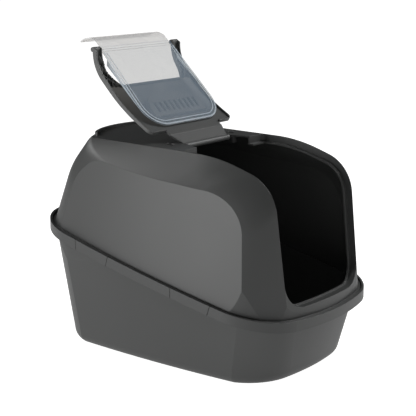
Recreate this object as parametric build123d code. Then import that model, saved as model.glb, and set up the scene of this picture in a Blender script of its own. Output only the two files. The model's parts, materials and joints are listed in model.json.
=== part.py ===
"""Covered litter box: pan, clip-on hood, fold-back lid and swinging door flap.

Millimetres, +Z up, entrance towards -Y, origin on the floor under the middle.
The pan rim lies in a plane that rises towards the back, and the hood stands on
it. The lid is drawn closed and then folded back about its hinge, with the door
flap folded on to its inner face, which is the rest pose.
"""
import os
from math import atan, cos, degrees, hypot, radians, sqrt, tan

from build123d import *

# Rim: outer outline seen from above, and the tilted plane of its top edge
HALF_WIDTH = 191.0
HALF_LENGTH = 280.5
FRONT = -HALF_LENGTH
BACK = HALF_LENGTH
WIDEST_Y = -50.0
SIDE_RADIUS = 2200.0
END_RADIUS = 520.0
FRONT_CORNER = 104.0
BACK_CORNER = 112.0
RIM_FRONT_HEIGHT = 117.0
RIM_SLOPE = 0.216

# Rim section: skirt, bead and the recessed ledge that carries the hood
SKIRT_HEIGHT = 18.0
SKIRT_WALL = 2.5
BEAD_WIDTH = 4.5
LEDGE_DROP = 5.0
LEDGE_WALL = 2.5

# Pan: virtual sharp floor outline, flare of its walls and flat side facets
PAN_WALL = 3.0
PAN_INSET = 10.0
FLOOR_HALF_WIDTH = HALF_WIDTH - 36.0
FLOOR_FRONT = HALF_LENGTH - 42.5
FLOOR_BACK = HALF_LENGTH - 39.5
FLOOR_CORNER = 98.0
PAN_TOP = 245.0
SIDE_FLARE = 44.0
FRONT_FLARE = 62.0
BACK_FLARE = 21.0
FLOOR_EDGE_RADIUS = 20.0
FACET_HALF_WIDTH = HALF_WIDTH - 40.5
FACET_SLOPE = 0.172
FACET_RADIUS = 2600.0

# Hood: wall, how far its foot stands inside the rim outline, and its side panels
HOOD_WALL = 3.0
HOOD_INSET = 10.5
FOOT_INSET = 6.3
FOOT_THICK = 2.4
SEAT_GAP = 0.3
SIDE_HALF_WIDTH = HALF_WIDTH - 13.0
SIDE_HEIGHT = 190.0
SIDE_TILT = 0.12
SIDE_WIDEST_Y = -5.0
PANEL_RADIUS = 1900.0

# Hood profiles (y, z) of foot front, front corner, brow, roof edge, back corner and
# foot back, and the radii of the four corners, at the middle, the crease, the cheek
# and just outside the side panel
MIDDLE = ([(FRONT + 10.5, 119), (FRONT + 37.5, 344), (FRONT + 158.5, 379), (BACK - 77.5, 386),
           (BACK - 40.5, 318), (BACK - 11.5, 236)], (74, 310, 12, 150))
CREASE = ([(FRONT + 21.5, 122), (FRONT + 47.5, 342), (FRONT + 158.5, 378), (BACK - 118.5, 384),
           (BACK - 75.5, 335), (BACK - 30.5, 231)], (74, 310, 12, 150))
CHEEK = ([(FRONT + 54.5, 128), (FRONT + 69.5, 333), (FRONT + 182.5, 354), (BACK - 130.5, 370),
          (BACK - 92.5, 325), (BACK - 58.5, 225)], (86, 310, 30, 120))
PANEL = ([(FRONT + 97.5, 134), (FRONT + 124.5, 300), (FRONT + 205.5, 325), (BACK - 182.5, 344),
          (BACK - 148.5, 300), (BACK - 130.5, 217)], (75, 310, 55, 90))
CREASE_HALF_WIDTH = 121.0
CREASE_LEAN = 0.03
CREASE_TOP = 380.0
CHEEK_HALF_WIDTH = 154.0
CHEEK_TILT = 0.075
PANEL_HALF_WIDTH = 180.0
PROFILE_FOOT = 50.0

# Low ridge along the roof's back edge, bowed like the edge
RIDGE_TOP = 391.0
RIDGE_WIDTH = 6.0
RIDGE_HALF = 104.0
RIDGE_END_Y = BACK - 114.5
RIDGE_MIDDLE_Y = BACK - 80.5

# Entrance in the hood: the rabbet that takes the lid, and the way through
RABBET_DEPTH = 13.3
RABBET_LEDGE = 10.0
LEDGE_THICK = 3.0
SILL_HEIGHT = 135.0
SILL_LEDGE = 2.5
SILL_CORNER = 44.0

# Lid, drawn closed: hinge, outline seen from above, plate and turned-down flange
HINGE_Y = -8.0
HINGE_Z = 377.0
OPEN_ANGLE = 150.0
SIDE_CLEARANCE = 1.0
LID_HALF_WIDTH = 118.0
LID_THICK = 2.8
LID_FLANGE = 2.5
LID_SINK = 1.5
LID_DIP = 3.5
LID_REST_GAP = 2.0
TAB_HALF_WIDTH = 64.0
TAB_THICK = 3.0
TAB_STRAIGHT = 8.0
TAB_CORNER = 1.0
TAB_ROOT = 4.0
TAB_SLOT_HEIGHT = 60.0
NOTCH_HALF_WIDTH = 75.0
NOTCH_LEAN = 1.0
NOTCH_CORNER = 5.0
NOTCH_Y = -37.0
SHOULDER_Y = -47.0
SHOULDER_CORNER = 12.0
SHOULDER_ROOT = 4.0
BARREL_RADIUS = 5.0
HINGE_PIN_RADIUS = 3.0
PIN_CLEARANCE = 0.06
TAB_ROOM = 6.0
BEARING_WIDTH = 11.0
PIN_END_GAP = 2.0
CUTOUT_BACK = FRONT + 114.5
CUTOUT_ROOT = 86.0
ARM_INNER = 100.5
ARM_INNER_Y = FRONT + 90.5
ARM_INNER_RADIUS = 30.0
CUTOUT_CORNER = 14.0
CUTOUT_RIM = 4.0
ARM_RIB_DEPTH = 5.0
ARM_RIB_WIDTH = 1.6
ARM_RIB_PITCH = 17.0
ARM_RIB_TURN = 50.0

# Door flap, drawn hanging: pivot, leaf, beads, side flanges and the curved lip
PIVOT_Y = FRONT + 50.5
PIVOT_Z = 318.0
FOLD_ANGLE = 106.0
CLIP_RADIUS = 4.4
FLAP_PIN_RADIUS = 2.0
FLAP_BAR_RADIUS = 2.3
FLAP_LENGTH = 179.0
FLAP_TOP_HALF = 98.5
FLAP_WIDE_HALF = 103.5
FLAP_WIDE_DROP = 125.0
FLAP_CORNER = 46.0
FLAP_SHOULDER = 230.0
FLAP_THICK = 1.6
BEAD_PROUD = 0.9
OUTER_BEAD = (0.0, 3.2)
INNER_BEAD = (7.5, 9.5)
FLAP_FLANGE = 8.0
FLAP_FLANGE_LOW = 1.5
FLAP_FLANGE_TOP = 24.0
FLAP_FLANGE_WALL = 1.5
LIP_RISE = 12.0
LIP_RADIUS = 29.0
LIP_SWEEP = 90.0
LIP_SIDE_GAP = 4.5

# Filter box on the lid's inner face, with a row of slots through it
FILTER_FRONT = FRONT + 152.5
FILTER_BACK = FRONT + 200.5
FILTER_HALF_WIDTH = 72.0
FILTER_CORNER = 34.0
COVER_WALL = 1.8
COVER_GAP = 1.6
COVER_ROOM = 60.0
SLOT_COUNT = 9
SLOT_PITCH = 13.6
SLOT_WIDTH = 7.0
SLOT_LENGTH = 21.0
SLOT_BACK = FILTER_BACK - 8.0
PAD_GAP = 0.4
PAD_THICK = 3.0

# Rim latches: two on each long side, from front to back, slanted at the front
LATCH_SPANS = {"front": (-155.0, -75.0), "back": (66.0, 146.0)}
LATCH_SLANT = 6.0
LATCH_GAP = 0.8
LATCH_LIP = 5.6
LATCH_LIP_THICK = 2.2
LATCH_AXIS_DROP = 13.5
LATCH_AXIS_INSET = 5.6
LATCH_ROD_RADIUS = 3.4
LATCH_PIN_RADIUS = 1.6
LATCH_PIN_LENGTH = 5.0
EAR_INSET = 4.4
EAR_DEPTH = 6.0
EAR_LOW = 2.8

# How far cuts pass their surface, and a length beyond the whole part
OVERCUT = 1.0
BIG = 900.0


def rim_height(y, drop=0.0):
    """Height over y of the rim plane, or of a plane that lies below it."""
    return RIM_FRONT_HEIGHT + RIM_SLOPE * (y + HALF_LENGTH) - drop


def across(points):
    """Prism across the whole width over a closed outline of (y, z) points."""
    return extrude(Plane.YZ * make_face(Polyline(*points, close=True)), amount=BIG, both=True)


def rim_slab(bottom, top):
    """Everything between two planes that lie so far below the rim plane."""
    ends = ((-BIG, bottom), (BIG, bottom), (BIG, top), (-BIG, top))
    return across([(y, rim_height(y, drop)) for y, drop in ends])


def slice_y(front, back):
    """Everything between two values of y."""
    return Pos(0, (front + back) / 2, 0) * Box(2 * BIG, back - front, 2 * BIG)


def slice_x(half_width):
    """Everything within a half-width of the middle plane."""
    return Box(2 * half_width, 2 * BIG, 2 * BIG)


def above(height):
    """Everything above a height."""
    return Pos(0, 0, height + BIG) * Box(2 * BIG, 2 * BIG, 2 * BIG)


def right_side():
    """Everything on the +X side."""
    return Pos(BIG / 2, 0, 0) * Box(BIG, 2 * BIG, 2 * BIG)


def both_sides(solid):
    """A solid and its mirror image on the other side."""
    return solid + solid.mirror(Plane.YZ)


def flip(point):
    """The same point on the other side."""
    return Vector(-point.X, point.Y, point.Z)


def arc(centre, radius, start, end):
    """Arc round a centre by the shorter way from start to end."""
    way = (start - centre).normalized() + (end - centre).normalized()
    return ThreePointArc(start, centre + way.normalized() * radius, end)


def corner_centre(side_centre, side_reach, end_centre, end_reach):
    """Centre of the circle that touches the side arc and the end arc inside."""
    apart = end_centre - side_centre
    distance = apart.length
    along = (side_reach**2 - end_reach**2 + distance**2) / (2 * distance)
    off = sqrt(side_reach**2 - along**2)
    unit = apart.normalized()
    choices = [side_centre + unit * along + Vector(-unit.Y, unit.X) * off * turn for turn in (1, -1)]
    return max(choices, key=lambda point: point.X)


def outline(width, front, back, front_corner, back_corner, inset=0.0):
    """Bowed, rounded rectangle as a face on the floor, drawn with eight arcs."""
    side = Vector(width - SIDE_RADIUS, WIDEST_Y)
    flank = SIDE_RADIUS - inset
    bow = END_RADIUS - inset
    right = []
    caps = []
    on_sides = []
    for end, radius in ((Vector(0, END_RADIUS - front), front_corner - inset),
                        (Vector(0, back - END_RADIUS), back_corner - inset)):
        centre = corner_centre(side, flank - radius, end, bow - radius)
        on_side = side + (centre - side).normalized() * flank
        on_end = end + (centre - end).normalized() * bow
        right.append(arc(centre, radius, on_end, on_side))
        caps.append(arc(end, bow, flip(on_end), on_end))
        on_sides.append(on_side)
    right.append(arc(side, flank, *on_sides))
    left = [edge.mirror(Plane.YZ) for edge in right]
    return make_face(right + left + caps)


def rim_outline(inset=0.0):
    """Outline of the rim seen from above, or so far inside it."""
    return outline(HALF_WIDTH, HALF_LENGTH, HALF_LENGTH, FRONT_CORNER, BACK_CORNER, inset)


def rim_ring(outer, inner, bottom, top):
    """Ring between two insets of the rim outline and two planes under the rim."""
    ring = extrude(rim_outline(outer) - rim_outline(inner), amount=BIG)
    return ring & rim_slab(bottom, top)


def side_edge(y):
    """Half-width of the rim outline over y, along its side arc."""
    return HALF_WIDTH - SIDE_RADIUS + sqrt(SIDE_RADIUS**2 - (y - WIDEST_Y)**2)


def between_sides(half_width, widest_y, height, slope, radius):
    """Everything between two bowed sides that lean out by slope, half_width apart at height."""
    lean = atan(slope)
    barrel = Cylinder(radius, 3 * BIG)
    body = Pos(half_width - radius / cos(lean), widest_y, height) * Rot(0, degrees(lean), 0) * barrel
    return body & body.mirror(Plane.YZ)


def pan_body(inset):
    """The pan as a solid block, or its inside when inset by the wall."""
    low = outline(FLOOR_HALF_WIDTH, FLOOR_FRONT, FLOOR_BACK, FLOOR_CORNER, FLOOR_CORNER, inset)
    high = outline(FLOOR_HALF_WIDTH + SIDE_FLARE, FLOOR_FRONT + FRONT_FLARE, FLOOR_BACK + BACK_FLARE,
                   FRONT_CORNER, BACK_CORNER, inset)
    block = loft([low, Pos(0, 0, PAN_TOP) * high], ruled=True)
    block &= between_sides(FACET_HALF_WIDTH - inset, WIDEST_Y, 0, FACET_SLOPE, FACET_RADIUS)
    block &= extrude(rim_outline(PAN_INSET + inset), amount=BIG)
    block &= above(inset)
    foot = block.edges().group_by(Axis.Z)[0]
    return fillet(foot, FLOOR_EDGE_RADIUS - inset)


def rod(start, end, radius):
    """Round rod from one point to another."""
    way = end - start
    return extrude(Plane(start, z_dir=way) * Circle(radius), amount=way.length)


def cross_bar(y, z, half_width, radius):
    """Round bar across the width with its axis at y, z."""
    return Pos(0, y, z) * Rot(0, 90, 0) * Cylinder(radius, 2 * half_width)


def latch_region(span, grow=0.0):
    """The stretch of the rim that a latch takes up; its front end slants."""
    front, back = span[0] - grow, span[1] + grow
    reach = 3 * SKIRT_HEIGHT
    slant = LATCH_SLANT / SKIRT_HEIGHT * reach
    return across([(front + slant, rim_height(front, reach)), (back, rim_height(back, reach)),
                   (back, rim_height(back, -reach)), (front - slant, rim_height(front, -reach))])


def latch_axis(span):
    """Two ends of a latch's rod on the +X side, along the rim."""
    places = (span[0] + LATCH_SLANT + LATCH_PIN_LENGTH, span[1] - LATCH_GAP - LATCH_PIN_LENGTH)
    return [Vector(side_edge(y) - LATCH_AXIS_INSET, y, rim_height(y, LATCH_AXIS_DROP)) for y in places]


def make_latch(span):
    """Latch on the +X side: skirt plate, pressing lip, rod and two pins."""
    region = latch_region(span) & right_side()
    plate = rim_ring(0, SKIRT_WALL, SKIRT_HEIGHT, 0) & region
    lip = rim_ring(0, LATCH_LIP, LATCH_LIP_THICK, 0) & region
    start, end = latch_axis(span)
    reach = (end - start).normalized() * LATCH_PIN_LENGTH
    body = plate + lip + rod(start, end, LATCH_ROD_RADIUS)
    return body + rod(start - reach, end + reach, LATCH_PIN_RADIUS)


def latch_ears(span):
    """Two ears under the ledge that carry a latch's pins on the +X side, and their bore."""
    start, end = latch_axis(span)
    way = (end - start).normalized()
    off = way * (LATCH_GAP + LATCH_PIN_LENGTH / 2)
    under = rim_ring(EAR_INSET, EAR_INSET + EAR_DEPTH, LATCH_AXIS_DROP + EAR_LOW, LEDGE_DROP + LEDGE_WALL / 2)
    ears = [under & slice_y(place.Y - LATCH_PIN_LENGTH / 2, place.Y + LATCH_PIN_LENGTH / 2)
            for place in (start - off, end + off)]
    bore = rod(start - off * 3, end + off * 3, LATCH_PIN_RADIUS + PIN_CLEARANCE)
    return (ears[0] + ears[1]) & right_side(), bore


def make_pan():
    """Deep pan with its skirt, bead and ledge, cut away where the latches sit."""
    pan = pan_body(0) & rim_slab(BIG, LEDGE_DROP)
    pan += extrude(rim_outline(), amount=BIG) & rim_slab(LEDGE_DROP + LEDGE_WALL, LEDGE_DROP)
    pan += rim_ring(0, BEAD_WIDTH, LEDGE_DROP + LEDGE_WALL, 0)
    pan += rim_ring(0, SKIRT_WALL, SKIRT_HEIGHT, LEDGE_DROP)
    pan -= pan_body(PAN_WALL)
    for span in LATCH_SPANS.values():
        region = latch_region(span, LATCH_GAP) & right_side()
        seat = rim_ring(-OVERCUT, EAR_INSET, SKIRT_HEIGHT + OVERCUT, -OVERCUT)
        seat += rim_ring(0, LATCH_LIP, LEDGE_DROP, -OVERCUT)
        pan -= both_sides(seat & region)
        ears, bore = latch_ears(span)
        pan = pan + both_sides(ears) - both_sides(bore)
    return pan


def inset_points(points, inset):
    """Corners of a profile whose lines have all moved into the hood."""
    corners = [Vector(*point) for point in points]
    ways = [(end - start).normalized() for start, end in zip(corners, corners[1:])]
    inward = [Vector(way.Y, -way.X) for way in ways]
    moved = []
    for corner, before, after in zip(corners, [inward[0], *inward], [*inward, inward[-1]]):
        place = corner + (before + after) * (inset / (1 + before.dot(after)))
        moved.append((place.X, place.Y))
    return moved


def profile_face(profile, place, slope, inset):
    """A hood profile as a face in a plane across X that leans out by slope."""
    points = inset_points(profile[0], inset)
    for foot, knee in ((0, 1), (-1, -2)):
        run = (points[knee][0] - points[foot][0]) / (points[knee][1] - points[foot][1])
        points[foot] = (points[foot][0] - run * PROFILE_FOOT, points[foot][1] - PROFILE_FOOT)
    stretch = hypot(1, slope)
    flat = [(y, z * stretch) for y, z in points]
    top = FilletPolyline(*flat, radius=[max(radius - inset, 1.0) for radius in profile[1]])
    face = make_face([*top.edges(), Line(flat[-1], flat[0])])
    origin = (place - slope * SIDE_HEIGHT, 0, 0)
    return Plane(origin=origin, x_dir=(0, 1, 0), z_dir=(1, 0, -slope)) * face


def centre_block(inset=0.0, widen=0.0):
    """Middle part of the hood between the two creases, or smaller and wider."""
    place = CREASE_HALF_WIDTH - CREASE_LEAN * (CREASE_TOP - SIDE_HEIGHT) + widen
    right = profile_face(CREASE, place, CREASE_LEAN, inset)
    return loft([right.mirror(Plane.YZ), profile_face(MIDDLE, 0, 0, inset), right])


def cheek_block(inset=0.0):
    """Rounded cheek from the crease out past the side panel."""
    place = CREASE_HALF_WIDTH - CREASE_LEAN * (CREASE_TOP - SIDE_HEIGHT)
    return loft([profile_face(CREASE, place, CREASE_LEAN, inset),
                 profile_face(CHEEK, CHEEK_HALF_WIDTH - inset, -CHEEK_TILT, inset),
                 profile_face(PANEL, PANEL_HALF_WIDTH - inset, -SIDE_TILT, inset)])


def hood_block(inset=0.0):
    """The hood as a solid block, or its inside when inset by the wall."""
    block = centre_block(inset) + both_sides(cheek_block(inset))
    block &= extrude(rim_outline(HOOD_INSET + inset), amount=BIG)
    half_width = SIDE_HALF_WIDTH - inset
    return block & between_sides(half_width, SIDE_WIDEST_Y, SIDE_HEIGHT, -SIDE_TILT, PANEL_RADIUS)


def entrance(narrow, raised, back):
    """Front view of the entrance, carried from the front back to y = back."""
    top = 2 * CREASE_TOP
    sill = SILL_HEIGHT + raised
    half_top, half_sill = [CREASE_HALF_WIDTH - CREASE_LEAN * (CREASE_TOP - z) - narrow for z in (top, sill)]
    points = [(-half_top, top), (-half_sill, sill), (half_sill, sill), (half_top, top)]
    sides = FilletPolyline(*points, radius=[SILL_CORNER - narrow, SILL_CORNER - narrow])
    face = make_face([*sides.edges(), Line(points[-1], points[0])])
    return extrude(Plane.XZ.offset(-FRONT) * face, amount=FRONT - back)


def upright(points, radii):
    """Prism over an outline seen from above, given by its +X half from back to front."""
    other = [(-x, y) for x, y in reversed(points)]
    line = FilletPolyline(*other, *points, radius=[*reversed(radii), *radii])
    return extrude(make_face([*line.edges(), Line(line @ 1, line @ 0)]), amount=BIG)


def lid_plan(half_width, grow=0.0, room=0.0):
    """Prism over the lid's outline: hinge tab, notches, shoulders and arms."""
    tab = TAB_HALF_WIDTH + grow
    notch = NOTCH_HALF_WIDTH + grow
    shoulder = SHOULDER_Y + grow
    back = HINGE_Y + BARREL_RADIUS + room
    points = [(0, back), (tab, back),
              (tab, HINGE_Y - TAB_STRAIGHT), (notch, NOTCH_Y), (notch + NOTCH_LEAN, shoulder),
              (half_width, shoulder), (half_width, FRONT)]
    corners = [TAB_CORNER, NOTCH_CORNER, NOTCH_CORNER, SHOULDER_ROOT, SHOULDER_CORNER + grow]
    right = FilletPolyline(*points, radius=corners)
    left = right.mirror(Plane.YZ)
    return extrude(make_face([*right.edges(), *left.edges(), Line(right @ 1, left @ 1)]), amount=BIG)


def roof_ridge():
    """Low wall along the roof's back edge, down into the roof."""
    ends = [(-RIDGE_HALF, RIDGE_END_Y), (0, RIDGE_MIDDLE_Y), (RIDGE_HALF, RIDGE_END_Y)]
    back = ThreePointArc(*ends)
    front = ThreePointArc(*[(x, y - RIDGE_WIDTH) for x, y in ends])
    sides = [Line(back @ end, front @ end) for end in (0, 1)]
    return extrude(make_face([back, front, *sides]), amount=RIDGE_TOP)


def make_hood():
    """Hood shell with its foot, roof ridge, entrance rabbet, hinge slot and bearings."""
    seat = LEDGE_DROP - SEAT_GAP
    outside = hood_block() & rim_slab(seat, -BIG)
    foot = rim_ring(FOOT_INSET, HOOD_INSET + HOOD_WALL, seat, seat - FOOT_THICK)
    hood = outside + foot + (roof_ridge() & rim_slab(seat, -BIG)) - hood_block(HOOD_WALL)
    shoulder_back = SHOULDER_Y + SIDE_CLEARANCE
    under_lid = centre_block(RABBET_DEPTH, 2 * HOOD_WALL)
    band = entrance(-HOOD_WALL, -HOOD_WALL, shoulder_back + HOOD_WALL) & outside
    hood += band - centre_block(RABBET_DEPTH + LEDGE_THICK, 2 * HOOD_WALL)
    bearing = TAB_HALF_WIDTH + SIDE_CLEARANCE + BEARING_WIDTH
    hood += Pos(0, HINGE_Y, HINGE_Z) * Box(2 * bearing, 4 * BARREL_RADIUS, 4 * BARREL_RADIUS) & outside
    lid_way = lid_plan(CREASE_HALF_WIDTH, SIDE_CLEARANCE, TAB_ROOM)
    hood -= (entrance(0, 0, HINGE_Y + 2 * BARREL_RADIUS) & lid_way) - under_lid
    hood -= entrance(RABBET_LEDGE, SILL_LEDGE, shoulder_back - RABBET_LEDGE)
    tab_way = lid_way & slice_x(NOTCH_HALF_WIDTH + SIDE_CLEARANCE)
    tab_way &= slice_y(shoulder_back - 2 * RABBET_LEDGE, 2 * BARREL_RADIUS)
    hood -= tab_way & Pos(0, 0, HINGE_Z) * Box(BIG, BIG, TAB_SLOT_HEIGHT)
    bore = bearing - PIN_END_GAP
    return hood - cross_bar(HINGE_Y, HINGE_Z, bore, HINGE_PIN_RADIUS + PIN_CLEARANCE)


def lid_line(sink, dip):
    """Side view of the closed lid, so far inside the hood's crease profile."""
    foot, front, brow, back = inset_points(CREASE[0], sink)[:4]
    end_z = brow[1] + (back[1] - brow[1]) / (back[0] - brow[0]) * (NOTCH_Y - brow[0])
    points = [foot, front, (brow[0], brow[1] - dip), (NOTCH_Y, end_z - dip)]
    return FilletPolyline(*points, radius=[radius - sink for radius in CREASE[1][:2]])


def lid_band(outer, inner, half_width):
    """Curved plate between two lid lines, each given as (sink, dip)."""
    lines = [lid_line(*outer), lid_line(*inner)]
    ends = [Line(lines[0] @ end, lines[1] @ end) for end in (0, 1)]
    face = make_face([*lines[0].edges(), *lines[1].edges(), *ends])
    return extrude(Plane.YZ * face, amount=half_width, both=True)


def arm_ribs():
    """Crossed upright ribs over the two arms."""
    middle = (LID_HALF_WIDTH + CUTOUT_ROOT) / 2
    count = int((CUTOUT_BACK - PIVOT_Y) / ARM_RIB_PITCH)
    bars = [Pos(middle, CUTOUT_BACK - (number + 0.5) * ARM_RIB_PITCH, 0) * Rot(0, 0, turn)
            * Box(LID_HALF_WIDTH, ARM_RIB_WIDTH, 2 * BIG)
            for number in range(count) for turn in (ARM_RIB_TURN, -ARM_RIB_TURN)]
    ribs = bars[0].fuse(*bars[1:])
    width = LID_HALF_WIDTH - CUTOUT_ROOT
    arm = Pos(middle, 0, 0) * Box(width, BIG, 2 * BIG)
    arm &= slice_y(CUTOUT_BACK - count * ARM_RIB_PITCH, CUTOUT_BACK)
    return both_sides(ribs & arm)


def filter_slots():
    """Row of slots through the lid plate and the filter cover."""
    first = -(SLOT_COUNT - 1) / 2 * SLOT_PITCH
    slots = [Pos(first + number * SLOT_PITCH, SLOT_BACK - SLOT_LENGTH / 2, HINGE_Z)
             * Box(SLOT_WIDTH, SLOT_LENGTH, 2 * COVER_ROOM) for number in range(SLOT_COUNT)]
    return slots[0].fuse(*slots[1:])


def make_lid():
    """Closed lid: plate, flange, hinge tab, cut-out between arms, clips and ribs."""
    skin = (LID_SINK, LID_DIP)
    under = (LID_SINK + LID_THICK, LID_DIP)
    tip = (RABBET_DEPTH - LID_REST_GAP, 0)
    plan = lid_plan(LID_HALF_WIDTH)
    cutout, cutout_rim = [
        upright([(CUTOUT_ROOT + grow, CUTOUT_BACK + grow), (ARM_INNER + grow, ARM_INNER_Y),
                 (ARM_INNER + grow, FRONT)], [CUTOUT_CORNER + grow, ARM_INNER_RADIUS])
        for grow in (0, LID_FLANGE)]
    deep = lid_band(skin, tip, LID_HALF_WIDTH)
    middle = slice_x(LID_HALF_WIDTH - LID_FLANGE) & slice_y(FRONT, SHOULDER_Y - LID_FLANGE)
    flange = deep - middle - slice_x(NOTCH_HALF_WIDTH + LID_FLANGE)
    rim = lid_band(skin, (LID_SINK + LID_THICK + CUTOUT_RIM, LID_DIP), LID_HALF_WIDTH)
    ribs = lid_band(skin, (LID_SINK + LID_THICK + ARM_RIB_DEPTH, LID_DIP), LID_HALF_WIDTH) & arm_ribs()
    lid = lid_band(skin, under, LID_HALF_WIDTH) + flange + ribs + (rim & cutout_rim)
    lid = (lid & plan & above(PIVOT_Z - CLIP_RADIUS)) - cutout
    end_z = (lid_line(*skin) @ 1).Y
    half = TAB_THICK / 2
    root = NOTCH_Y - TAB_ROOT
    tab = across([(HINGE_Y, HINGE_Z + half), (HINGE_Y, HINGE_Z - half),
                  (root, end_z - TAB_THICK), (root, end_z)])
    lid += tab & slice_x(NOTCH_HALF_WIDTH) & plan
    lid += cross_bar(HINGE_Y, HINGE_Z, TAB_HALF_WIDTH, BARREL_RADIUS)
    pin_end = TAB_HALF_WIDTH + SIDE_CLEARANCE + BEARING_WIDTH - 2 * PIN_END_GAP
    lid += cross_bar(HINGE_Y, HINGE_Z, pin_end, HINGE_PIN_RADIUS)
    lid += cross_bar(PIVOT_Y, PIVOT_Z, LID_HALF_WIDTH, CLIP_RADIUS) - slice_x(ARM_INNER)
    lid -= cross_bar(PIVOT_Y, PIVOT_Z, LID_HALF_WIDTH - LID_FLANGE, FLAP_PIN_RADIUS + PIN_CLEARANCE)
    return lid - filter_slots()


def leaf_face(inset):
    """Front view of the hanging flap, or so far inside its edge."""
    low = PIVOT_Z - FLAP_LENGTH + inset
    wide = FLAP_WIDE_HALF - inset
    points = [(FLAP_TOP_HALF - inset, PIVOT_Z - inset), (wide, PIVOT_Z - FLAP_WIDE_DROP), (wide, low),
              (-wide, low), (-wide, PIVOT_Z - FLAP_WIDE_DROP), (inset - FLAP_TOP_HALF, PIVOT_Z - inset)]
    corner = FLAP_CORNER - inset
    shoulder = FLAP_SHOULDER - inset
    line = FilletPolyline(*points, radius=[shoulder, corner, corner, shoulder])
    return Plane.XZ.offset(-PIVOT_Y) * make_face([*line.edges(), Line(points[-1], points[0])])


def make_flap():
    """Hanging flap: leaf, two beads, side flanges, pivot bar, pins and curved lip."""
    half = FLAP_THICK / 2
    leaf = extrude(leaf_face(0), amount=half, both=True)
    for start, end in (OUTER_BEAD, INNER_BEAD):
        bead = extrude(leaf_face(start) - leaf_face(end), amount=half + BEAD_PROUD)
        leaf += bead & Pos(0, 0, PIVOT_Z - FLAP_BAR_RADIUS - BIG) * Box(2 * BIG, 2 * BIG, 2 * BIG)
    ring = extrude(leaf_face(0) - leaf_face(FLAP_FLANGE_WALL), amount=-half - FLAP_FLANGE)
    low = PIVOT_Z - FLAP_LENGTH
    side = [(0, PIVOT_Z - FLAP_FLANGE_TOP), (FLAP_FLANGE, PIVOT_Z - FLAP_FLANGE_TOP - FLAP_FLANGE),
            (FLAP_FLANGE_LOW, low + FLAP_CORNER), (FLAP_FLANGE_LOW, low), (0, low)]
    leaf += ring & across([(PIVOT_Y + y, z) for y, z in side])
    lip = Line((PIVOT_Y, PIVOT_Z), (PIVOT_Y, PIVOT_Z + LIP_RISE))
    curl = CenterArc((PIVOT_Y + LIP_RADIUS, PIVOT_Z + LIP_RISE), LIP_RADIUS, 180, -LIP_SWEEP)
    path = Curve() + [lip, curl]
    face = trace(path, FLAP_THICK)
    leaf += extrude(Plane.YZ * face, amount=ARM_INNER - LIP_SIDE_GAP, both=True)
    leaf += cross_bar(PIVOT_Y, PIVOT_Z, FLAP_TOP_HALF, FLAP_BAR_RADIUS)
    pin_end = LID_HALF_WIDTH - LID_FLANGE - PIN_END_GAP
    return leaf + cross_bar(PIVOT_Y, PIVOT_Z, pin_end, FLAP_PIN_RADIUS)


def over_flap(y, gap):
    """Height of a plane so far above the folded flap's upper face, over y."""
    rise = radians(FOLD_ANGLE - 90)
    return PIVOT_Z + (y - PIVOT_Y) * tan(rise) + (FLAP_THICK / 2 + gap) / cos(rise)


def filter_block(inset, low_gap, high_gap):
    """Space of the filter box between two planes over the folded flap, inside a wall."""
    front, back = FILTER_FRONT + inset, FILTER_BACK - inset
    side = [(y, over_flap(y, gap)) for y, gap in
            ((front, low_gap), (back, low_gap), (back, high_gap), (front, high_gap))]
    half = FILTER_HALF_WIDTH - inset
    return across(side) & upright([(half, front), (half, back)], [FILTER_CORNER - inset])


def over_lid(sink):
    """Everything above a line so far below the lid's top."""
    line = lid_line(sink, LID_DIP)
    start, end = line @ 0, line @ 1
    roof = Polyline(end, (end.X, 2 * HINGE_Z), (start.X, 2 * HINGE_Z), start)
    return extrude(Plane.YZ * make_face([*line.edges(), *roof.edges()]), amount=BIG, both=True)


def make_filter():
    """Slotted cover on the lid's inner face and the carbon pad that it holds."""
    face_gap = COVER_GAP + COVER_WALL
    cover = filter_block(0, COVER_GAP, COVER_ROOM) - filter_block(COVER_WALL, face_gap, COVER_ROOM)
    cover = cover - over_lid(LID_SINK + LID_THICK + PAD_GAP) - filter_slots()
    pad = filter_block(COVER_WALL + PAD_GAP, face_gap + PAD_GAP, face_gap + PAD_GAP + PAD_THICK)
    return cover, pad


def main():
    """Build every piece, fold the lid back with the flap on it, and write the files."""
    hinge = Axis((0, HINGE_Y, HINGE_Z), (1, 0, 0))
    pivot = Axis((0, PIVOT_Y, PIVOT_Z), (1, 0, 0))
    cover, pad = make_filter()
    folding = {"front_lid": make_lid(), "filter_cover": cover, "carbon_filter": pad,
               "swing_flap": make_flap().rotate(pivot, FOLD_ANGLE)}
    nodes = {"base_pan": make_pan(), "hood_shell": make_hood()}
    for name, solid in folding.items():
        nodes[name] = solid.rotate(hinge, -OPEN_ANGLE)
    for place, span in LATCH_SPANS.items():
        latch = make_latch(span)
        nodes[f"latch_{place}_right"] = latch
        nodes[f"latch_{place}_left"] = latch.mirror(Plane.YZ)
    os.makedirs("parts", exist_ok=True)
    for name, solid in nodes.items():
        export_step(solid, f"parts/{name}.step")


main()
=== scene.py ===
"""Covered litter box in studio light: finishes, moulded detail, lamps, floor and camera."""
import json
import math

import bpy
import bmesh
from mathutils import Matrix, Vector
from mathutils.bvhtree import BVHTree


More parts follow.
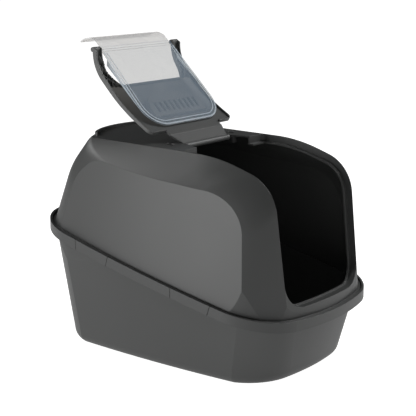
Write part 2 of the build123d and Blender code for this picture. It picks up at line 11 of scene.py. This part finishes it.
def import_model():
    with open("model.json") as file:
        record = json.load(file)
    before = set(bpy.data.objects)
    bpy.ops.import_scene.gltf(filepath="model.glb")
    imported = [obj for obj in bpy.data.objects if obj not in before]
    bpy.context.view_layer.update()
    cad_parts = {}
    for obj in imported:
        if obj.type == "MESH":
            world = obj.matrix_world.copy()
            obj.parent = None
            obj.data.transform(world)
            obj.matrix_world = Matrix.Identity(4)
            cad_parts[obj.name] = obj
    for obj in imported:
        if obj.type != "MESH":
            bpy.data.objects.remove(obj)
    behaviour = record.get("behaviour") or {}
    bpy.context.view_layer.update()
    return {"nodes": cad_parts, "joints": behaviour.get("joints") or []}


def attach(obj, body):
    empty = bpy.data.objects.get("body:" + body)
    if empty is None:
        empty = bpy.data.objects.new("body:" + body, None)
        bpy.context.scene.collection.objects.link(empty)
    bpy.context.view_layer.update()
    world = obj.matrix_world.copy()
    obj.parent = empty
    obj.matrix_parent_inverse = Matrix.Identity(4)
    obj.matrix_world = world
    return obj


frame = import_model()
NODES = frame["nodes"]
JOINTS = {joint["name"]: joint for joint in frame["joints"]}

# Camera, from the photograph's perspective: place in metres, turn and tilt in degrees
CAMERA_PLACE = (-1.657, -1.2615, 0.7133)
CAMERA_TURN = -52.94
CAMERA_TILT = 77.57
CAMERA_LENS = 102.08
CAMERA_NEAR, CAMERA_FAR = 0.05, 100.0

# Colours of the plastics and the foam, in linear light
GREY_PLASTIC = (0.0530, 0.0545, 0.0538)
# The lid and filter cover are the hood's plastic, painted lighter: painted light on faces that the lamps
# leave in shade
LID_GREY_PAINTED_LIGHTER = (0.0750, 0.0770, 0.0760)
FOAM_CRUST = (0.012, 0.012, 0.013)
FOAM_PORE = (0.004, 0.004, 0.004)

# Moulded plastic: flow marks and dust in shade and gloss, spark grain, rounded edges
FLOW_SCALE, FLOW_DETAIL = 9.0, 3.0
DUST_SCALE = 900.0
FLOW_SHADE, DUST_SHADE = 0.7, 0.3
SHADE_SPREAD = 0.07
PLASTIC_ROUGHNESS = 0.37
FLOW_ROUGHNESS, DUST_ROUGHNESS = 0.06, 0.05
GRAIN_SCALE, GRAIN_DETAIL, GRAIN_ROUGHNESS = 1700.0, 3.0, 0.6
GRAIN_STRENGTH = 0.25
GRAIN_DEPTH = 0.0001
EDGE_SAMPLES, EDGE_RADIUS = 6, 0.0011
PLASTIC_IOR = 1.49

# Door flap at rest: folded up from hanging, on a lid that is folded back, both in degrees,
# which gives the directions square to its leaf and down it
FLAP_FOLD, LID_FOLD = 106.0, 150.0
FLAP_PIVOT = tuple(JOINTS["flap_pivot"]["pos_m"])
FLAP_LEAN = math.radians(FLAP_FOLD - LID_FOLD)
FLAP_NORMAL = (0.0, -math.cos(FLAP_LEAN), -math.sin(FLAP_LEAN))
FLAP_DOWN = (0.0, math.sin(FLAP_LEAN), -math.cos(FLAP_LEAN))

# Clear plastic of the flap: tint of what shows through it, and its milk and haze
FLAP_TINT = (0.885, 0.862, 0.832)
FLAP_MILK = (0.38, 0.50, 0.64)
FLAP_HAZE = 0.22
FLAP_ROUGHNESS = 0.24
# The beads' milk and haze: frosting of the thicker plastic, and partly a painted highlight along the beads
BEAD_MILK_AND_HIGHLIGHT = (0.55, 0.62, 0.68)
BEAD_HAZE_AND_HIGHLIGHT = 0.42
LIP_MILK = (0.80, 0.82, 0.85)
LIP_HAZE = 0.24
CLOUD_SCALE = 14.0
CLOUD_HAZE, CLOUD_ROUGHNESS = 0.03, 0.08
BEAD_SHARE, CLOUD_SHARE = 0.8, 0.2
FLAP_GRAIN_SCALE, FLAP_GRAIN_STRENGTH = 1400.0, 0.12

# Where the flap is hazier, in metres: so far off the leaf's middle it is a bead, if it is
# below the clips' reach, and so far above the pivot it is the lip. The ramp is per metre.
BEAD_START = 0.0011
CLIP_REACH = 0.010
LIP_START = 0.004
HAZE_RAMP = 4000.0

# Carbon foam: cells per metre, and how sharply their edges show
CELL_SCALE = 420.0
CELL_CONTRAST = 4.0
CELL_STRENGTH, CELL_DEPTH = 0.9, 0.0008
FOAM_ROUGHNESS = 0.9

# Bars on the hood, in metres: half-width, depth sunk in, and rounding of the sharp edges
BAR_HALF = 0.0009
BAR_SINK = 0.0006
BAR_EDGE, BAR_EDGE_STEPS = 0.0004, 2
SHARP = math.radians(30)

# Ribs on the entrance's ledge, lower than the gap under the closed lid. Rays towards a point
# (y, z) inside the hood find the ledge, at angles in degrees.
RIB_X = 0.1135
RIB_CENTRE = (-0.06, 0.24)
RIB_REACH = 0.3
RIB_HEIGHT = 0.0011
RIB_SWEEPS = {"front": (152.0, 136.0), "back": (116.0, 98.0)}
RIB_STEPS = 24

# Open loops on the roof beside the hinge, found by rays from overhead
LOOP_X, LOOP_Y = 0.089, 0.004
LOOP_RADIUS = 0.0065
LOOP_HEIGHT = 0.0022
LOOP_START, LOOP_SWEEP = 60.0, 240.0
LOOP_STEPS = 20
OVERHEAD = 1.0

# Floor and world: the floor's paper and glow, and the world's strength on the object.
# The camera sees both as white, and gloss mirrors them darker than they are.
FLOOR_SIZE = 30.0
FLOOR_PAPER = (0.50, 0.50, 0.50)
WHITE = (1.0, 1.0, 1.0)
FLOOR_GLOW = 0.70
FLOOR_SEEN = 0.32
FLOOR_DULL = 0.24
AMBIENT = 0.12
MIRRORED = 0.04

# Lamps: name, place, the point they face, width and height in metres, and watts
LAMPS = (
    ("left_box", (-4.6, 1.9, 0.6), (0, 0, 0.15), (2.8, 1.4), 112),
    ("right_box", (2.4, -2.0, 0.7), (0, 0, 0.15), (0.8, 1.2), 8),
    ("top_box", (1.5, -1.2, 2.1), (0, 0, 0.45), (1.3, 1.3), 46),
    ("back_box", (-0.9, 2.3, 2.2), (0, 0.1, 0.35), (1.8, 1.2), 34),
)


class Wire:
    """A shader socket that can be used in sums."""

    def __init__(self, tree, socket):
        self.tree, self.socket = tree, socket

    def _maths(self, operation, *values):
        made = self.tree.nodes.new("ShaderNodeMath")
        made.operation = operation
        for slot, value in zip(made.inputs, values):
            plug(self.tree, slot, value)
        return Wire(self.tree, made.outputs[0])

    def __add__(self, other):
        return self._maths("ADD", self, other)

    def __sub__(self, other):
        return self._maths("SUBTRACT", self, other)

    def __rsub__(self, other):
        return self._maths("SUBTRACT", other, self)

    def __mul__(self, other):
        return self._maths("MULTIPLY", self, other)

    __radd__, __rmul__ = __add__, __mul__

    def clamp(self):
        """The same number kept between 0 and 1."""
        low = self._maths("MAXIMUM", self, 0.0)
        return low._maths("MINIMUM", low, 1.0)


def plug(tree, slot, value):
    """Link a wire to a socket, or write a plain value there."""
    if isinstance(value, Wire):
        tree.links.new(value.socket, slot)
    elif isinstance(value, tuple) and slot.type == "RGBA":
        slot.default_value = (*value, 1.0)
    else:
        slot.default_value = value


class Finish:
    """The nodes of a material or a world: one method adds any node."""

    def __init__(self, owner, output):
        owner.use_nodes = True
        self.owner = owner
        self.tree = owner.node_tree
        self.tree.nodes.clear()
        self.out = self.tree.nodes.new(output)

    def node(self, kind, settings=None, output=0, sockets=None, **inputs):
        """Add a node; its inputs are given by number in sockets, or by name."""
        made = self.tree.nodes.new("ShaderNode" + kind)
        for key, value in (settings or {}).items():
            setattr(made, key, value)
        for number, value in (sockets or {}).items():
            plug(self.tree, made.inputs[number], value)
        for key, value in inputs.items():
            plug(self.tree, made.inputs[key.replace("_", " ")], value)
        return Wire(self.tree, made.outputs[output])

    def place(self):
        """Where a point lies on the object, in metres."""
        return self.node("TexCoord", output="Object")

    def noise(self, scale, detail=2.0, roughness=0.5):
        """Soft random pattern, with so many lumps to the metre."""
        return self.node("TexNoise", Vector=self.place(), Scale=scale, Detail=detail, Roughness=roughness)

    def mix(self, factor, first, second):
        """Blend of two colours."""
        return self.node("Mix", {"data_type": "RGBA"}, output=2, sockets={0: factor, 6: first, 7: second})

    def vector(self, operation, first, second, output="Vector"):
        """Vector sum of two vectors or wires."""
        return self.node("VectorMath", {"operation": operation}, output, {0: first, 1: second})

    def show(self, shader):
        """Make a shader the surface, and give back the material or world."""
        self.tree.links.new(shader.socket, self.out.inputs["Surface"])
        return self.owner


def new_finish(name):
    """Empty material under construction."""
    return Finish(bpy.data.materials.new(name), "ShaderNodeOutputMaterial")


def moulded(name, colour):
    """Moulded plastic: fine spark grain, faint flow marks and dust in the colour."""
    f = new_finish(name)
    flow = f.noise(FLOW_SCALE, FLOW_DETAIL)
    dust = f.noise(DUST_SCALE)
    dark = tuple(part * (1 - SHADE_SPREAD) for part in colour)
    light = tuple(part * (1 + SHADE_SPREAD) for part in colour)
    base = f.mix((flow * FLOW_SHADE + dust * DUST_SHADE).clamp(), dark, light)
    rough = PLASTIC_ROUGHNESS + flow * FLOW_ROUGHNESS + dust * DUST_ROUGHNESS
    grain = f.noise(GRAIN_SCALE, GRAIN_DETAIL, GRAIN_ROUGHNESS)
    edge = f.node("Bevel", {"samples": EDGE_SAMPLES}, Radius=EDGE_RADIUS)
    bump = f.node("Bump", Strength=GRAIN_STRENGTH, Distance=GRAIN_DEPTH, Height=grain, Normal=edge)
    return f.show(f.node("BsdfPrincipled", Base_Color=base, Roughness=rough, Normal=bump, IOR=PLASTIC_IOR))


def clear_flap(name):
    """Frosted clear plastic, hazier in its beads, side flanges and lip than in its leaf; the beads' whiter
    haze is partly a painted highlight.
    """
    f = new_finish(name)
    cloud = f.noise(CLOUD_SCALE)
    grain = f.noise(FLAP_GRAIN_SCALE)
    bump = f.node("Bump", Strength=FLAP_GRAIN_STRENGTH, Distance=GRAIN_DEPTH, Height=grain)
    off = f.vector("SUBTRACT", f.place(), FLAP_PIVOT)
    height = f.vector("DOT_PRODUCT", off, FLAP_NORMAL, "Value")
    down = f.vector("DOT_PRODUCT", off, FLAP_DOWN, "Value")
    thick = f.node("Math", {"operation": "ABSOLUTE"}, sockets={0: height})
    # Bead mask: where the whiter, hazier skin gives the beads their frosting and a painted highlight
    bead = ((thick - BEAD_START) * HAZE_RAMP).clamp() * ((down - CLIP_REACH) * HAZE_RAMP).clamp()
    lip = ((-LIP_START - down) * HAZE_RAMP).clamp()
    milk = f.mix(bead * BEAD_SHARE + cloud * CLOUD_SHARE, FLAP_MILK, BEAD_MILK_AND_HIGHLIGHT)
    milk = f.mix(lip, milk, LIP_MILK)
    rough = FLAP_ROUGHNESS + cloud * CLOUD_ROUGHNESS
    skin = f.node("BsdfPrincipled", Base_Color=milk, Roughness=rough, Normal=bump, IOR=PLASTIC_IOR)
    through = f.node("BsdfTransparent", Color=FLAP_TINT)
    haze = FLAP_HAZE + cloud * CLOUD_HAZE + bead * BEAD_HAZE_AND_HIGHLIGHT + lip * LIP_HAZE
    return f.show(f.node("MixShader", sockets={0: haze, 1: through, 2: skin}))


def foam(name):
    """Open carbon foam: black cells with a dull crust."""
    f = new_finish(name)
    cells = f.node("TexVoronoi", {"feature": "DISTANCE_TO_EDGE"}, Vector=f.place(), Scale=CELL_SCALE)
    base = f.mix((cells * CELL_CONTRAST).clamp(), FOAM_PORE, FOAM_CRUST)
    bump = f.node("Bump", Strength=CELL_STRENGTH, Distance=CELL_DEPTH, Height=cells)
    return f.show(f.node("BsdfPrincipled", Base_Color=base, Roughness=FOAM_ROUGHNESS, Normal=bump))


def dress(node, material):
    """Give a carried-over node its finish."""
    mesh = NODES[node].data
    mesh.materials.clear()
    mesh.materials.append(material)


def surface(node):
    """Search tree over a node's mesh, for laying detail on its surface."""
    mesh = NODES[node].data
    corners = [vertex.co.copy() for vertex in mesh.vertices]
    return BVHTree.FromPolygons(corners, [list(face.vertices) for face in mesh.polygons])


def drop_on(tree, start, way):
    """Where a ray first meets a surface, and the surface's normal turned to the start."""
    place, normal, _, _ = tree.ray_cast(start, way)
    return place, -normal if normal.dot(way) > 0 else normal


def extrude_bar(bm, sections):
    """Closed bar from a first four-cornered section, extruded to each next one."""
    end = bm.faces.new([bm.verts.new(corner) for corner in sections[0]])
    for number, (before, after) in enumerate(zip(sections, sections[1:])):
        made = bmesh.ops.extrude_face_region(bm, geom=[end])["geom"]
        if number:
            bmesh.ops.delete(bm, geom=[end], context="FACES_ONLY")
        end = next(part for part in made if isinstance(part, bmesh.types.BMFace))
        for vert in end.verts:
            corner = min(range(len(before)), key=lambda k: (vert.co - before[k]).length)
            vert.co = after[corner]
    bmesh.ops.recalc_face_normals(bm, faces=bm.faces)


def hood_bar(name, steps, height, material):
    """Low bar along steps on the hood, with rounded edges, riding on the hood."""
    sections = []
    for place, normal, side in steps:
        low, high = place - normal * BAR_SINK, place + normal * height
        sections.append((low - side, low + side, high + side, high - side))
    bm = bmesh.new()
    extrude_bar(bm, sections)
    edges = [edge for edge in bm.edges if edge.calc_face_angle(0) > SHARP]
    bmesh.ops.bevel(bm, geom=edges, offset=BAR_EDGE, segments=BAR_EDGE_STEPS, profile=0.5, material=-1,
                    affect="EDGES")
    mesh = bpy.data.meshes.new(name)
    bm.to_mesh(mesh)
    bm.free()
    mesh.materials.append(material)
    for face in mesh.polygons:
        face.use_smooth = True
    mesh.set_sharp_from_angle(angle=SHARP)
    piece = bpy.data.objects.new(name, mesh)
    bpy.context.scene.collection.objects.link(piece)
    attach(piece, "hood")


def ledge_rib(hood, side, start, end):
    """Steps of a rib along the entrance's ledge: place, normal and half-width."""
    centre = Vector((side * RIB_X, *RIB_CENTRE))
    steps = []
    for step in range(RIB_STEPS + 1):
        angle = math.radians(start + (end - start) * step / RIB_STEPS)
        way = Vector((0, math.cos(angle), math.sin(angle)))
        steps.append((*drop_on(hood, centre + way * RIB_REACH, -way), Vector((BAR_HALF, 0, 0))))
    return steps


def hinge_loop(hood, side):
    """Steps of an open loop on the roof, beside the end of the hinge pin's bore."""
    steps = []
    for step in range(LOOP_STEPS + 1):
        angle = math.radians(LOOP_START + LOOP_SWEEP * step / LOOP_STEPS)
        outward = Vector((side * math.cos(angle), math.sin(angle), 0))
        spot = Vector((side * LOOP_X, LOOP_Y, OVERHEAD)) + outward * LOOP_RADIUS
        steps.append((*drop_on(hood, spot, Vector((0, 0, -1))), outward * BAR_HALF))
    return steps


def hood_details(material):
    """Ribs and loops that repeat on both sides of the hood."""
    hood = surface("hood_shell")
    for side, word in ((-1, "left"), (1, "right")):
        for place, sweep in RIB_SWEEPS.items():
            hood_bar(f"ledge_rib_{place}_{word}", ledge_rib(hood, side, *sweep), RIB_HEIGHT, material)
        hood_bar(f"hinge_loop_{word}", hinge_loop(hood, side), LOOP_HEIGHT, material)


def floor():
    """Pale paper floor."""
    bpy.ops.mesh.primitive_plane_add(size=FLOOR_SIZE, location=(0, 0, 0))
    sheet = bpy.context.object
    sheet.name = "studio_floor"
    f = new_finish("floor_paper")
    seen = f.node("LightPath", output="Is Camera Ray")
    glossy = f.node("LightPath", output="Is Glossy Ray")
    paper = f.node("BsdfDiffuse", Color=FLOOR_PAPER)
    strength = FLOOR_GLOW + seen * FLOOR_SEEN - glossy * FLOOR_DULL
    glow = f.node("Emission", Color=WHITE, Strength=strength)
    sheet.data.materials.append(f.show(f.node("AddShader", sockets={0: paper, 1: glow})))


def world():
    """Even white surroundings, weak on the object and weaker in its gloss."""
    studio = bpy.data.worlds.new("studio")
    bpy.context.scene.world = studio
    f = Finish(studio, "ShaderNodeOutputWorld")
    seen = f.node("LightPath", output="Is Camera Ray")
    glossy = f.node("LightPath", output="Is Glossy Ray")
    strength = AMBIENT + seen * (1 - AMBIENT) + glossy * (MIRRORED - AMBIENT)
    f.show(f.node("Background", Color=WHITE, Strength=strength))


def softbox(name, place, target, size, power):
    """Soft rectangular lamp that faces a point."""
    data = bpy.data.lights.new(name, "AREA")
    data.shape = "RECTANGLE"
    data.size, data.size_y = size
    data.energy = power
    lamp = bpy.data.objects.new(name, data)
    lamp.location = place
    lamp.rotation_euler = (Vector(target) - Vector(place)).to_track_quat("-Z", "Y").to_euler()
    bpy.context.scene.collection.objects.link(lamp)


def camera():
    """Camera at the photograph's viewpoint."""
    data = bpy.data.cameras.new("camera")
    data.lens = CAMERA_LENS
    data.clip_start, data.clip_end = CAMERA_NEAR, CAMERA_FAR
    eye = bpy.data.objects.new("camera", data)
    eye.location = CAMERA_PLACE
    eye.rotation_euler = (math.radians(CAMERA_TILT), 0, math.radians(CAMERA_TURN))
    bpy.context.scene.collection.objects.link(eye)
    bpy.context.scene.camera = eye


hood_plastic = moulded("hood_plastic", GREY_PLASTIC)
# Lid and filter cover: hood plastic painted lighter, as painted light on their shaded faces
lid_plastic = moulded("lid_plastic", LID_GREY_PAINTED_LIGHTER)
latch_plastic = moulded("latch_plastic", GREY_PLASTIC)
dress("base_pan", moulded("pan_plastic", GREY_PLASTIC))
dress("hood_shell", hood_plastic)
dress("front_lid", lid_plastic)
dress("filter_cover", lid_plastic)
dress("carbon_filter", foam("carbon_foam"))
dress("swing_flap", clear_flap("flap_plastic"))
for place in ("front", "back"):
    for side in ("left", "right"):
        dress(f"latch_{place}_{side}", latch_plastic)
hood_details(hood_plastic)
floor()
world()
for lamp in LAMPS:
    softbox(*lamp)
camera()

bpy.context.scene.view_settings.view_transform = "Standard"
